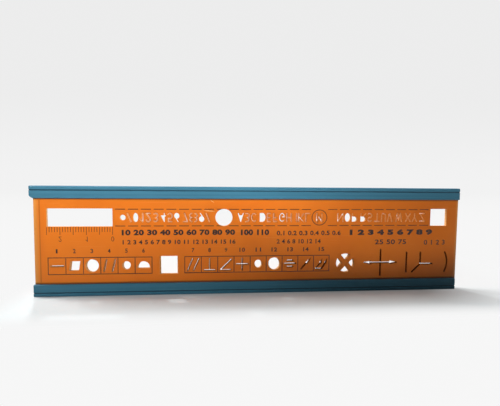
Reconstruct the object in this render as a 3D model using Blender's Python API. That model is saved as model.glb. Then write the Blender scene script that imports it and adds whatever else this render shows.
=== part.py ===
"""Drawing stencil with lettering, tolerance symbols and a 25 mm scale.

A thin orange plate carries every cut-out. Two slotted blue rails grip its long edges
and stand proud of both its faces, so that the plate never lies on wet ink.

Metres, +Z up. The stencil stands on its lower rail, with its printed face towards -Y.
The layout runs in plate coordinates: x from the plate's left end, z from the lower
rail's outer edge. One empty carries the pieces and moves that corner into place.
"""

import math

import bpy
import bmesh
from mathutils import Matrix, Vector
from mathutils.geometry import delaunay_2d_cdt

# Plate
PLATE_THICKNESS = 0.0013
PLATE_SHOWING = 0.0339  # height of the plate between the two rails
END_MARGIN = 0.0042  # plate left past the last cut-out
LEFT_BEVEL_WIDTH = 0.0024
RIGHT_BEVEL_WIDTH = 0.0014
BEVEL_DEPTH = 0.0005

# Rails, measured from the outer edge of the section towards the plate
RAIL_WIDTH = 0.00485
RAIL_CHEEK = 0.0012  # wall on each side of the slot
SLOT_DEPTH = 0.0032
SLOT_CLEARANCE = 0.00005  # between plate and cheek, on each face
SLOT_END_GAP = 0.0002  # between the plate's edge and the slot's floor
RAIL_STRIP = 0.0014  # raised strip outside the groove
RAIL_GROOVE_WIDTH = 0.00045
RAIL_GROOVE_DEPTH = 0.00025
OUTER_ROUNDING = 0.0006
INNER_ROUNDING = 0.00035
UPPER_RAIL_OVERHANG = 0.0008  # past the plate's left end
UPPER_RAIL_SETBACK = 0.0005  # short of the plate's right end
LOWER_RAIL_SETBACK = 0.0010
NICK_LENGTH = 0.0013  # corner cut off the upper rail's left end
NICK_HEIGHT = 0.0009

# Pen slots and engraved lines
PEN_SLOT = 0.00045
ENGRAVED_LINE = 0.0003
ENGRAVED_DEPTH = 0.0001

# Upper row: scale window, characters drawn upside down, circle, ring and square
UPPER_ROW_DROP = 0.0076  # from the upper rail's inner edge to the row's centre line
UPPER_ROW_MARGIN = 0.0049
SCALE_LENGTH = 0.025
WINDOW_HEIGHT = 0.0072
LETTER_HEIGHT = 0.0033  # along the pen's path
LETTER_WEB = 0.0005  # plate left between two characters
THIN_SPACE = 0.00045
WINDOW_GAP = 0.00275
CIRCLE_DIAMETER = 0.0070
CIRCLE_GAP = 0.00215
RING_DIAMETER = 0.0063
RING_GAP = 0.0007
AFTER_RING_GAP = 0.0046
SQUARE_SIDE = 0.0073
SQUARE_GAP = 0.0025
DIGITS = "o/01 2 3 456  789/"
FIRST_LETTERS = "ABC  DE F GH   IKL"
LAST_LETTERS = "NOP  RS TUV  W  XY Z"

# Scale and guide lines
TICK_PITCH = 0.001
SHORT_TICK = 0.0021
LONG_TICK = 0.0032
TICKS_PER_LONG = 5
TICKS_PER_NUMERAL = 10
TICK_WIDTH = 0.0002
NUMERAL_HEIGHT = 0.0018
NUMERAL_LINE = 0.00022
NUMERAL_GAP = 0.0008
GUIDE_SPACING = 0.0067
DASH_LENGTH = 0.0039
DASH_PITCH = 0.005
DASH_MARGIN = 0.001  # between the window and the guide lines
RING_DASH_MARGIN = 0.0005  # between the ring and the guide lines

# Lower row: boxed symbols, square, crossed circle, arrow cross and bracketed check mark
LOWER_ROW_RISE = 0.0071  # from the lower rail's inner edge to the row's centre line
LOWER_ROW_MARGIN = 0.0052
BOX_SIDE = 0.00665
SYMBOL_MARGIN = 0.00073  # between a symbol and its box
SECOND_SQUARE_GAP = 0.00305
BOXES_GAP = 0.00265
FORM_SYMBOLS = ("straight", "flat", "round", "cylinder", "small_round", "dome")
POSITION_SYMBOLS = (
    "parallel", "square", "angle", "position", "small_round", "round",
    "symmetry", "runout", "total_runout",
)
CROSSED_CIRCLE_DIAMETER = 0.0079
CROSS_WEB = 0.0018
CROSSED_CIRCLE_GAP = 0.0031
ARROW_CROSS_LENGTH = 0.0145
ARROW_CROSS_HEIGHT = 0.0114
ARROW_HEAD_LENGTH = 0.0031
ARROW_HEAD_WIDTH = 0.0014
ARROW_CROSS_GAP = 0.00415
BRACKET_HEIGHT = 0.0088
BRACKET_SPAN = 0.0187
BRACKET_BOW = 0.0010
BRACKET_GAP = 0.0041
CHECK_START = 0.0026  # from the left bracket to the foot of the check mark
CHECK_REACH = 0.0036
CHECK_ARM = 0.0053
CHECK_DROP = 0.0008  # from the row's centre line down to the check mark's knee

# Finish of the faceted shapes
ARC_STEP = 20  # degrees between two points of a small arc
SLOT_END_STEP = 45
SMALL_HOLE_STEP = 11.25
ROUND_HOLE_STEP = 7.5
CORNER_STEP = 22.5
SHARPEST_BEND = 50  # degrees; past it a pen slot is cut as two strokes
SHORTEST_EDGE = 0.00003
WELD = 1e-7
CUTTER_OVERLAP = 0.002  # how far a through cutter stands out of the plate

ORANGE = (0.75, 0.18, 0.026)
BLUE = (0.055, 0.15, 0.22)
COLLECTION_NAME = "stencil"
CUTTER_COLLECTION_NAME = "cutters"

rail_thickness = PLATE_THICKNESS + 2 * (SLOT_CLEARANCE + RAIL_CHEEK)
overall_height = PLATE_SHOWING + 2 * RAIL_WIDTH
plate_bottom = RAIL_WIDTH - SLOT_DEPTH + SLOT_END_GAP
plate_top = overall_height - plate_bottom
upper_row_z = overall_height - RAIL_WIDTH - UPPER_ROW_DROP
lower_row_z = RAIL_WIDTH + LOWER_ROW_RISE


def arc(cx, cz, rx, rz, start, end, step=ARC_STEP):
    """Points of an elliptical arc from start to end degrees."""
    steps = max(2, math.ceil(abs(end - start) / step))
    turns = [math.radians(start + (end - start) * i / steps) for i in range(steps + 1)]
    return [(cx + rx * math.cos(turn), cz + rz * math.sin(turn)) for turn in turns]


def oval(cx, cz, rx, rz):
    """A pen path that goes all round an ellipse and ends where it began."""
    return arc(cx, cz, rx, rz, -90, 270)


def bowl(width, bottom, top):
    """The closed loop at the top of P and R, which starts and ends on the stem."""
    middle = (bottom + top) / 2
    radius = (top - bottom) / 2
    return [(0, bottom), *arc(width - radius, middle, radius, radius, -90, 90), (0, top), (0, bottom)]


# Each character is its width and its pen strokes, in shares of the letter height.
# The figure 8 and the B are drawn as open halves, so that nothing falls out of them.
CHARACTERS = {
    "o": (0.56, [oval(0.28, 0.5, 0.28, 0.28)]),
    "/": (0.40, [[(0, 0), (0.4, 1)]]),
    "0": (0.50, [oval(0.25, 0.5, 0.25, 0.5)]),
    "1": (0.30, [[(0, 0.7), (0.3, 1), (0.3, 0)]]),
    "2": (0.46, [[*arc(0.23, 0.77, 0.23, 0.23, 170, -30), (0, 0), (0.46, 0)]]),
    "3": (0.46, [arc(0.21, 0.76, 0.22, 0.24, 140, -90), arc(0.21, 0.26, 0.25, 0.26, 90, -140)]),
    "4": (0.52, [[(0.36, 0), (0.36, 1), (0, 0.3), (0.52, 0.3)]]),
    "5": (0.50, [[(0.46, 1), (0.07, 1), (0.05, 0.57)], arc(0.23, 0.33, 0.27, 0.33, 130, -140)]),
    "6": (0.52, [oval(0.26, 0.3, 0.26, 0.3), [(0.42, 1), (0.04, 0.4)]]),
    "7": (0.46, [[(0, 1), (0.46, 1), (0.12, 0)]]),
    "8": (0.90, [
        arc(0.26, 0.76, 0.24, 0.24, 90, 270), arc(0.26, 0.26, 0.26, 0.26, 90, 270),
        arc(0.64, 0.76, 0.24, 0.24, 90, -90), arc(0.64, 0.26, 0.26, 0.26, 90, -90),
    ]),
    "9": (0.52, [oval(0.26, 0.7, 0.26, 0.3), [(0.1, 0), (0.48, 0.6)]]),
    "A": (0.60, [[(0, 0), (0.3, 1), (0.6, 0)], [(0.09, 0.28), (0.51, 0.28)]]),
    "B": (0.48, [
        [(0, 1), *arc(0.2, 0.76, 0.24, 0.24, 90, -90)],
        [*arc(0.22, 0.26, 0.26, 0.26, 90, -90), (0, 0)],
    ]),
    "C": (0.50, [arc(0.3, 0.5, 0.3, 0.5, 50, 310)]),
    "D": (0.62, [[(0, 0), *arc(0.3, 0.5, 0.32, 0.5, -90, 90), (0, 1), (0, 0)]]),
    "E": (0.36, [[(0.36, 1), (0, 1), (0, 0), (0.36, 0)], [(0, 0.52), (0.3, 0.52)]]),
    "F": (0.36, [[(0.36, 1), (0, 1), (0, 0)], [(0, 0.52), (0.3, 0.52)]]),
    "G": (0.60, [[*arc(0.3, 0.5, 0.3, 0.5, 50, 325), (0.58, 0.45), (0.34, 0.45)]]),
    "H": (0.55, [[(0, 0), (0, 1)], [(0.55, 0), (0.55, 1)], [(0, 0.52), (0.55, 0.52)]]),
    "I": (0.00, [[(0, 0), (0, 1)]]),
    "K": (0.60, [[(0, 0), (0, 1)], [(0.56, 1), (0, 0.38)], [(0.22, 0.62), (0.6, 0)]]),
    "L": (0.48, [[(0, 1), (0, 0), (0.48, 0)]]),
    "M": (0.64, [[(0, 0), (0, 1), (0.32, 0.4), (0.64, 1), (0.64, 0)]]),
    "N": (0.66, [[(0, 0), (0, 1), (0.66, 0), (0.66, 1)]]),
    "O": (0.64, [oval(0.32, 0.5, 0.32, 0.5)]),
    "P": (0.56, [bowl(0.56, 0.45, 1), [(0, 0), (0, 1)]]),
    "R": (0.62, [bowl(0.58, 0.45, 1), [(0, 0), (0, 1)], [(0.3, 0.45), (0.62, 0)]]),
    "S": (0.50, [[*arc(0.25, 0.75, 0.24, 0.25, 35, 270), *arc(0.25, 0.25, 0.25, 0.25, 70, -145)]]),
    "T": (0.60, [[(0, 1), (0.6, 1)], [(0.3, 1), (0.3, 0)]]),
    "U": (0.52, [[(0, 1), *arc(0.26, 0.26, 0.26, 0.26, 180, 360), (0.52, 1)]]),
    "V": (0.56, [[(0, 1), (0.28, 0), (0.56, 1)]]),
    "W": (0.74, [[(0, 1), (0.185, 0), (0.37, 0.85), (0.555, 0), (0.74, 1)]]),
    "X": (0.60, [[(0, 0), (0.6, 1)], [(0, 1), (0.6, 0)]]),
    "Y": (0.60, [[(0, 1), (0.3, 0.5), (0.6, 1)], [(0.3, 0.5), (0.3, 0)]]),
    "Z": (0.60, [[(0, 1), (0.6, 1), (0, 0), (0.6, 0)]]),
}

# Each boxed symbol is its pen strokes and its open shapes, in shares of the reach
# from the middle of the box to the symbol's outermost edge.
SYMBOLS = {
    "straight": ([[(-0.9, 0), (0.9, 0)]], []),
    "flat": ([], [[(-0.86, -0.74), (0.6, -0.74), (0.86, 0.74), (-0.6, 0.74)]]),
    "round": ([], [arc(0, 0, 1, 1, 0, 360, ROUND_HOLE_STEP)[:-1]]),
    "small_round": ([], [arc(0, 0, 0.66, 0.66, 0, 360, SMALL_HOLE_STEP)[:-1]]),
    "cylinder": ([[(-0.84, -0.9), (-0.44, 0.9)], [(0.42, -0.9), (0.84, 0.9)]], []),
    "dome": ([], [arc(0, -0.46, 1, 1.08, 0, 180, SMALL_HOLE_STEP)]),
    "parallel": ([[(-0.85, -0.9), (-0.1, 0.9)], [(0.1, -0.9), (0.85, 0.9)]], []),
    "square": ([[(-0.85, -0.9), (0.85, -0.9)], [(0, -0.9), (0, 0.9)]], []),
    "angle": ([[(0.85, 0.75), (-0.85, -0.9), (0.75, -0.9)]], []),
    "position": ([[(-0.9, 0), (0.9, 0)], [(0, -0.9), (0, 0.9)]], []),
    "symmetry": ([[(-0.9, 0), (0.9, 0)], [(-0.42, 0.5), (0.42, 0.5)], [(-0.42, -0.5), (0.42, -0.5)]], []),
    "runout": ([[(-0.75, -0.9), (0.1, 0.1)]], [[(-0.05, 0.1), (0.3, -0.1), (0.85, 0.95)]]),
    "total_runout": (
        [[(-0.9, -0.9), (-0.15, 0.1)], [(0.05, -0.9), (0.65, 0.1)], [(-0.9, -0.9), (0.05, -0.9)]],
        [[(-0.3, 0.1), (-0.02, -0.08), (0.18, 0.8)], [(0.5, 0.1), (0.78, -0.08), (0.98, 0.8)]],
    ),
}


def turn_at(before, here, after):
    """The change of direction at a point of a path, in degrees."""
    first = Vector(here) - Vector(before)
    second = Vector(after) - Vector(here)
    return math.degrees(first.angle(second))


def smooth_runs(path):
    """The path cut at its sharp corners, and halfway round where it closes on itself."""
    closes = (Vector(path[0]) - Vector(path[-1])).length < WELD
    runs = [[path[0]]]
    for i in range(1, len(path)):
        runs[-1].append(path[i])
        if i == len(path) - 1:
            break
        bend = turn_at(path[i - 1], path[i], path[i + 1])
        if bend > SHARPEST_BEND or (closes and i == len(path) // 2):
            runs.append([path[i]])
    return runs


def slot_outline(run, width):
    """The outline that a round cutter of this width leaves along a smooth run."""
    points = [Vector(point) for point in run]
    directions = [(b - a).normalized() for a, b in zip(points, points[1:])]
    left, right = [], []
    for i, point in enumerate(points):
        before = directions[max(i - 1, 0)]
        after = directions[min(i, len(directions) - 1)]
        middle = (before + after).normalized()
        reach = width / 2 / middle.dot(after)
        side = Vector((-middle.y, middle.x)) * reach
        left.append(tuple(point + side))
        right.append(tuple(point - side))
    return [*right, *round_end(points[-1], directions[-1], width),
            *reversed(left), *round_end(points[0], -directions[0], width)]


def round_end(centre, direction, width):
    """The half circle at a slot's end, without its first and last points."""
    heading = math.degrees(math.atan2(direction.y, direction.x))
    half = width / 2
    return arc(centre.x, centre.y, half, half, heading - 90, heading + 90, SLOT_END_STEP)[1:-1]


def slots(paths, width=PEN_SLOT):
    """Outlines of all the slots along these paths."""
    return [slot_outline(run, width) for path in paths for run in smooth_runs(path)]


def placed(path, x, z, scale, upside_down=False):
    """The path scaled about its origin and moved to x, z, turned over where asked."""
    flip = -1 if upside_down else 1
    return [(x + scale * px, z + flip * scale * pz) for px, pz in path]


def rectangle(left, right, bottom, top):
    return [(left, bottom), (right, bottom), (right, top), (left, top)]


def disc(x, z, diameter, step=ROUND_HOLE_STEP):
    return arc(x, z, diameter / 2, diameter / 2, 0, 360, step)[:-1]


def character_row(text, x, z):
    """Upside-down characters cut one after the other from x, and where they end."""
    outlines = []
    for sign in text:
        if sign == " ":
            x += THIN_SPACE
            continue
        share, strokes = CHARACTERS[sign]
        start = x + PEN_SLOT / 2
        top = z + LETTER_HEIGHT / 2
        paths = [placed(stroke, start, top, LETTER_HEIGHT, True) for stroke in strokes]
        outlines += slots(paths)
        x += share * LETTER_HEIGHT + PEN_SLOT + LETTER_WEB
    return outlines, x - LETTER_WEB


def upper_row():
    """Cut-outs of the upper row, with the places that other features line up with."""
    z = upper_row_z
    window = (UPPER_ROW_MARGIN, UPPER_ROW_MARGIN + SCALE_LENGTH)
    cuts = [rectangle(*window, z - WINDOW_HEIGHT / 2, z + WINDOW_HEIGHT / 2)]
    digits, x = character_row(DIGITS, window[1] + WINDOW_GAP, z)
    circle_x = x + CIRCLE_GAP + CIRCLE_DIAMETER / 2
    cuts.append(disc(circle_x, z, CIRCLE_DIAMETER))
    letters, x = character_row(FIRST_LETTERS, circle_x + CIRCLE_DIAMETER / 2 + CIRCLE_GAP, z)
    ring_x = x + RING_GAP + RING_DIAMETER / 2
    ringed_width = CHARACTERS["M"][0] * LETTER_HEIGHT + PEN_SLOT
    ringed, _ = character_row("M", ring_x - ringed_width / 2, z)
    more, x = character_row(LAST_LETTERS, ring_x + RING_DIAMETER / 2 + AFTER_RING_GAP, z)
    square_x = x + SQUARE_GAP
    half = SQUARE_SIDE / 2
    cuts.append(rectangle(square_x, square_x + SQUARE_SIDE, z - half, z + half))
    cuts += digits + letters + ringed + more
    return cuts, window, ring_x, square_x


def boxed_symbols(names, x, z):
    """Symbols in a row of boxes from x, and where the boxes end."""
    reach = BOX_SIDE / 2 - SYMBOL_MARGIN
    cuts = []
    for i, name in enumerate(names):
        centre = x + (i + 0.5) * BOX_SIDE
        strokes, shapes = SYMBOLS[name]
        cuts += slots([placed(stroke, centre, z, reach) for stroke in strokes])
        cuts += [placed(shape, centre, z, reach) for shape in shapes]
    return cuts, x + len(names) * BOX_SIDE


def crossed_circle(x, z):
    """Four openings that are left when a diagonal cross stands in a round hole."""
    radius = CROSSED_CIRCLE_DIAMETER / 2
    apex = CROSS_WEB / math.sqrt(2)
    corner = (math.sqrt(2 * radius ** 2 - apex ** 2) - apex) / 2
    spread = math.degrees(math.atan2(corner, corner + apex))
    sector = [(0, apex), *arc(0, 0, radius, radius, 90 - spread, 90 + spread, ROUND_HOLE_STEP)]
    turned = []
    for quarter in range(4):
        turn = Matrix.Rotation(math.radians(90 * quarter), 2)
        turned.append([tuple(turn @ Vector(point) + Vector((x, z))) for point in sector])
    return turned


def arrow_cross(x, z):
    """A centre cross whose level arm ends in two open arrow heads."""
    arm = (ARROW_CROSS_LENGTH - PEN_SLOT) / 2
    rise = (ARROW_CROSS_HEIGHT - PEN_SLOT) / 2
    cuts = slots([[(x - arm, z), (x + arm, z)], [(x, z - rise), (x, z + rise)]])
    for side in (-1, 1):
        tip = x + side * ARROW_CROSS_LENGTH / 2
        heel = tip - side * ARROW_HEAD_LENGTH
        half = ARROW_HEAD_WIDTH / 2
        cuts.append([(tip, z), (heel, z + half), (heel, z - half)])
    return cuts


def bracketed_check(x, z):
    """A check mark for surface finish between two tall brackets."""
    half = (BRACKET_HEIGHT - PEN_SLOT) / 2
    left = x + PEN_SLOT / 2
    right = x + BRACKET_SPAN - PEN_SLOT / 2
    foot_x = left + CHECK_START
    knee = (foot_x + CHECK_REACH, z - CHECK_DROP)
    # The right bracket is a flat arc whose bow is BRACKET_BOW.
    radius = (half ** 2 + BRACKET_BOW ** 2) / (2 * BRACKET_BOW)
    spread = math.degrees(math.asin(half / radius))
    bow = arc(right - radius, z, radius, radius, -spread, spread, ROUND_HOLE_STEP)
    return slots([
        [(left, z - half), (left, z + half)],
        bow,
        [(foot_x, z - half), knee, (knee[0], z + half)],
        [knee, (knee[0] + CHECK_ARM, knee[1])],
    ])


def lower_row():
    """Cut-outs of the lower row, the spans of its two rows of boxes, and its end."""
    z = lower_row_z
    half = SQUARE_SIDE / 2
    form_start = LOWER_ROW_MARGIN
    form, form_end = boxed_symbols(FORM_SYMBOLS, form_start, z)
    square_x = form_end + SECOND_SQUARE_GAP
    square = rectangle(square_x, square_x + SQUARE_SIDE, z - half, z + half)
    position_start = square_x + SQUARE_SIDE + BOXES_GAP
    position, position_end = boxed_symbols(POSITION_SYMBOLS, position_start, z)
    circle_x = position_end + CROSSED_CIRCLE_GAP + CROSSED_CIRCLE_DIAMETER / 2
    cross_x = circle_x + CROSSED_CIRCLE_DIAMETER / 2 + ARROW_CROSS_GAP + ARROW_CROSS_LENGTH / 2
    bracket_x = cross_x + ARROW_CROSS_LENGTH / 2 + BRACKET_GAP
    cuts = form + [square] + position
    cuts += crossed_circle(circle_x, z) + arrow_cross(cross_x, z) + bracketed_check(bracket_x, z)
    return cuts, ((form_start, form_end), (position_start, position_end)), bracket_x + BRACKET_SPAN


def level_line(left, right, z, width):
    return rectangle(left, right, z - width / 2, z + width / 2)


def upright_line(x, bottom, top, width):
    return rectangle(x - width / 2, x + width / 2, bottom, top)


def scale_marks(window):
    """Millimetre ticks that hang from the window, numbered from right to left."""
    left, right = window
    edge = upper_row_z - WINDOW_HEIGHT / 2
    marks = []
    for i in range(round((right - left) / TICK_PITCH) + 1):
        x = right - i * TICK_PITCH
        length = SHORT_TICK if i % TICKS_PER_LONG else LONG_TICK
        marks.append(upright_line(x, edge - length, edge + TICK_WIDTH, TICK_WIDTH))
        if i % TICKS_PER_NUMERAL == 0:
            share, strokes = CHARACTERS[str(i // TICKS_PER_NUMERAL)]
            top = edge - LONG_TICK - NUMERAL_GAP
            start = x - share * NUMERAL_HEIGHT / 2
            paths = [placed(stroke, start, top, NUMERAL_HEIGHT, True) for stroke in strokes]
            marks += slots(paths, NUMERAL_LINE)
    return marks


def guide_dashes(start, end):
    """Two dashed lines, one above and one below the characters, from start to end."""
    dashes = []
    x = start
    while x + DASH_LENGTH <= end:
        for side in (-1, 1):
            z = upper_row_z + side * GUIDE_SPACING / 2
            dashes.append(level_line(x, x + DASH_LENGTH, z, ENGRAVED_LINE))
        x += DASH_PITCH
    return dashes


def box_frames(span):
    """Level lines over and under a row of boxes, and the upright ones between them."""
    left, right = span
    bottom = lower_row_z - BOX_SIDE / 2
    top = lower_row_z + BOX_SIDE / 2
    half = ENGRAVED_LINE / 2
    lines = [level_line(left - half, right + half, z, ENGRAVED_LINE) for z in (bottom, top)]
    places = [left + i * BOX_SIDE for i in range(round((right - left) / BOX_SIDE) + 1)]
    return lines, [upright_line(x, bottom, top, ENGRAVED_LINE) for x in places]


def engraved_ring(x):
    """The ring round the single M, as a pen path that closes on itself."""
    radius = RING_DIAMETER / 2
    path = arc(x, upper_row_z, radius, radius, -90, 270, ROUND_HOLE_STEP)
    return slots([path], ENGRAVED_LINE)


def signed_area(loop):
    following = loop[1:] + loop[:1]
    return sum(a[0] * b[1] - b[0] * a[1] for a, b in zip(loop, following)) / 2


def merged_loops(polygons):
    """Boundary loops of the union of the polygons, anticlockwise outside and clockwise inside."""
    corners, faces = [], []
    for polygon in polygons:
        ordered = polygon if signed_area(polygon) > 0 else polygon[::-1]
        faces.append(range(len(corners), len(corners) + len(ordered)))
        corners += [Vector(point) for point in ordered]
    points, _, triangles, _, _, sources = delaunay_2d_cdt(corners, [], faces, 1, WELD, True)
    sides = {
        (triangle[i], triangle[(i + 1) % 3])
        for triangle, source in zip(triangles, sources) if source
        for i in range(3)
    }
    onward = {}
    for start, end in sides:
        if (end, start) not in sides:
            onward.setdefault(start, []).append(end)
    loops = []
    while onward:
        start = min(onward)
        loop = [start]
        while True:
            ends = onward[loop[-1]]
            end = ends.pop()
            if not ends:
                del onward[loop[-1]]
            if end == start:
                break
            loop.append(end)
        loops.append(without_short_edges([tuple(points[i]) for i in loop]))
    return [loop for loop in loops if len(loop) > 2]


def without_short_edges(loop):
    kept = []
    for point in loop:
        if not kept or (Vector(point) - Vector(kept[-1])).length > SHORTEST_EDGE:
            kept.append(point)
    while len(kept) > 1 and (Vector(kept[0]) - Vector(kept[-1])).length <= SHORTEST_EDGE:
        kept.pop()
    return kept


def through_loops(polygons):
    """Outer loops alone: a counter that is cut free all round falls out of the plate."""
    return [loop for loop in merged_loops(polygons) if signed_area(loop) > 0]


def clear_scene():
    for obj in list(bpy.data.objects):
        bpy.data.objects.remove(obj, do_unlink=True)


def new_collection(name):
    collection = bpy.data.collections.new(name)
    bpy.context.scene.collection.children.link(collection)
    return collection


def plastic(name, colour, roughness):
    material = bpy.data.materials.new(name)
    material.use_nodes = True
    shader = material.node_tree.nodes["Principled BSDF"]
    shader.inputs["Base Color"].default_value = (*colour, 1)
    shader.inputs["Roughness"].default_value = roughness
    shader.inputs["Metallic"].default_value = 0
    return material


def extruded(name, loops, thickness, collection, turn=None, offset=(0, 0, 0)):
    """A mesh object: loops in one plane, filled between them and given a thickness.

    The outline lies in the object's own X and Y, and the thickness runs along its Z.
    """
    curve = bpy.data.curves.new(name, "CURVE")
    curve.dimensions = "2D"
    curve.fill_mode = "BOTH"
    curve.extrude = thickness / 2
    for loop in loops:
        spline = curve.splines.new("POLY")
        spline.points.add(len(loop) - 1)
        for point, (x, y) in zip(spline.points, loop):
            point.co = (x, y, 0, 1)
        spline.use_cyclic_u = True
    guide = bpy.data.objects.new(name + "_outline", curve)
    collection.objects.link(guide)
    guide.matrix_world = Matrix.Translation(offset) @ (turn or Matrix.Identity(4))
    bpy.context.view_layer.update()
    graph = bpy.context.evaluated_depsgraph_get()
    mesh = bpy.data.meshes.new_from_object(guide.evaluated_get(graph))
    solid = bpy.data.objects.new(name, mesh)
    solid.matrix_world = guide.matrix_world.copy()
    collection.objects.link(solid)
    bpy.data.objects.remove(guide, do_unlink=True)
    weld_and_face_out(mesh)
    return solid


def weld_and_face_out(mesh):
    shape = bmesh.new()
    shape.from_mesh(mesh)
    bmesh.ops.remove_doubles(shape, verts=shape.verts, dist=WELD)
    bmesh.ops.recalc_face_normals(shape, faces=shape.faces)
    shape.to_mesh(mesh)
    shape.free()


def facing_front():
    """Turns an outline's x and y into x and z, with its thickness along Y."""
    return Matrix.Rotation(math.radians(90), 4, "X")


def along_length():
    """Turns an outline's x and y into y and z, with its thickness along X."""
    return Matrix.Rotation(math.radians(90), 4, "Z") @ Matrix.Rotation(math.radians(90), 4, "X")


def as_cutter(obj):
    obj.hide_render = True
    obj.display_type = "WIRE"
    return obj


def cut(obj, cutter):
    modifier = obj.modifiers.new(cutter.name, "BOOLEAN")
    modifier.operation = "DIFFERENCE"
    modifier.solver = "EXACT"
    modifier.object = cutter


def plate_section(length):
    """Seen from above: a strip with a bevel on the printed face at each end."""
    half = PLATE_THICKNESS / 2
    return [
        (0, half), (0, BEVEL_DEPTH - half), (LEFT_BEVEL_WIDTH, -half),
        (length - RIGHT_BEVEL_WIDTH, -half), (length, BEVEL_DEPTH - half), (length, half),
    ]


def make_plate(length, cuts, marks, posts, parts, cutters):
    height = plate_top - plate_bottom
    middle = (plate_top + plate_bottom) / 2
    plate = extruded("plate", [plate_section(length)], height, parts, offset=(0, 0, middle))
    openings = extruded(
        "openings", through_loops(cuts), PLATE_THICKNESS + 2 * CUTTER_OVERLAP, cutters, facing_front())
    cut(plate, as_cutter(openings))
    # An engraving cutter reaches ENGRAVED_DEPTH into the printed face.
    reach = PLATE_THICKNESS
    front = -PLATE_THICKNESS / 2 + ENGRAVED_DEPTH - reach / 2
    for name, lines in (("engraving", marks), ("engraved_posts", posts)):
        loops = merged_loops(lines)
        tool = extruded(name, loops, reach, cutters, facing_front(), (0, front, 0))
        cut(plate, as_cutter(tool))
    plate.data.materials.append(plastic("orange_plastic", ORANGE, 0.25))
    return plate


def half_rail_section():
    """One cheek of the rail, from the middle of its outer edge to the slot's floor.

    The first number of each point is the distance from the middle plane, the second
    the distance from the outer edge.
    """
    face = rail_thickness / 2
    slot = PLATE_THICKNESS / 2 + SLOT_CLEARANCE
    groove_end = RAIL_STRIP + RAIL_GROOVE_WIDTH
    outer = arc(face - OUTER_ROUNDING, OUTER_ROUNDING, OUTER_ROUNDING, OUTER_ROUNDING,
                -90, 0, CORNER_STEP)
    inner = arc(face - INNER_ROUNDING, RAIL_WIDTH - INNER_ROUNDING, INNER_ROUNDING,
                INNER_ROUNDING, 0, 90, CORNER_STEP)
    return [
        *outer,
        (face, RAIL_STRIP), (face - RAIL_GROOVE_DEPTH, RAIL_STRIP),
        (face - RAIL_GROOVE_DEPTH, groove_end), (face, groove_end),
        *inner,
        (slot, RAIL_WIDTH), (slot, RAIL_WIDTH - SLOT_DEPTH),
    ]


def make_rail(name, left, right, outer_edge, turn, parts):
    """A rail from left to right, turned about its length by the given angle."""
    half = half_rail_section()
    section = half + [(-depth, across) for depth, across in reversed(half)]
    place = ((left + right) / 2, 0, outer_edge)
    facing = Matrix.Rotation(turn, 4, "X") @ along_length()
    rail = extruded(name, [section], right - left, parts, facing, place)
    rail.data.materials.append(plastic(name + "_blue", BLUE, 0.45))
    return rail


def nick_corner(rail, left, cutters):
    """Cuts off the corner where the upper rail overhangs the plate's left end.

    The cutter is a triangle on the corner's slope, which runs past both ends of it.
    """
    inner_edge = overall_height - RAIL_WIDTH
    slope = NICK_HEIGHT / NICK_LENGTH
    past = NICK_LENGTH / 2
    corner = [
        (left - past, inner_edge - slope * past),
        (left + NICK_LENGTH + past, inner_edge - slope * past),
        (left - past, inner_edge + NICK_HEIGHT + slope * past),
    ]
    nick = extruded("corner_nick", [corner], 2 * rail_thickness, cutters, facing_front())
    cut(rail, as_cutter(nick))


def carry(pieces, left, right):
    """Hangs the pieces on one empty that centres the stencil over the origin."""
    carrier = bpy.data.objects.new("stencil_centre", None)
    bpy.context.scene.collection.objects.link(carrier)
    for piece in pieces:
        piece.parent = carrier
    carrier.location.x = -(left + right) / 2


def main():
    clear_scene()
    parts = new_collection(COLLECTION_NAME)
    cutters = new_collection(CUTTER_COLLECTION_NAME)

    upper_cuts, window, ring_x, square_x = upper_row()
    lower_cuts, box_spans, lower_end = lower_row()
    plate_length = max(square_x + SQUARE_SIDE, lower_end) + END_MARGIN

    ring_half = RING_DIAMETER / 2
    marks = scale_marks(window) + engraved_ring(ring_x)
    marks += guide_dashes(window[1] + DASH_MARGIN, ring_x - ring_half)
    marks += guide_dashes(ring_x + ring_half + RING_DASH_MARGIN, square_x)
    posts = []
    for span in box_spans:
        lines, uprights = box_frames(span)
        marks += lines
        posts += uprights

    plate = make_plate(plate_length, upper_cuts + lower_cuts, marks, posts, parts, cutters)
    upper_left = -UPPER_RAIL_OVERHANG
    upper_right = plate_length - UPPER_RAIL_SETBACK
    upper_rail = make_rail("upper_rail", upper_left, upper_right, overall_height, math.pi, parts)
    nick_corner(upper_rail, upper_left, cutters)
    lower_rail = make_rail("lower_rail", 0, plate_length - LOWER_RAIL_SETBACK, 0, 0, parts)

    pieces = [plate, upper_rail, lower_rail, *cutters.objects]
    carry(pieces, min(0, upper_left), plate_length)


main()
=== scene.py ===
"""Looks for the drawing stencil: an orange plate between two blue rails, standing on a pale floor.

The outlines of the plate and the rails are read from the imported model. Here they become
finely rounded surfaces, with filled engraving, printed numbers and worn plastic. Lengths are
metres, angles degrees, lamp powers watts, and colours linear red, green, blue and alpha.
"""

import math

import bmesh
import bpy
import numpy as np
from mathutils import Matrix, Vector
from mathutils.geometry import delaunay_2d_cdt


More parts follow.
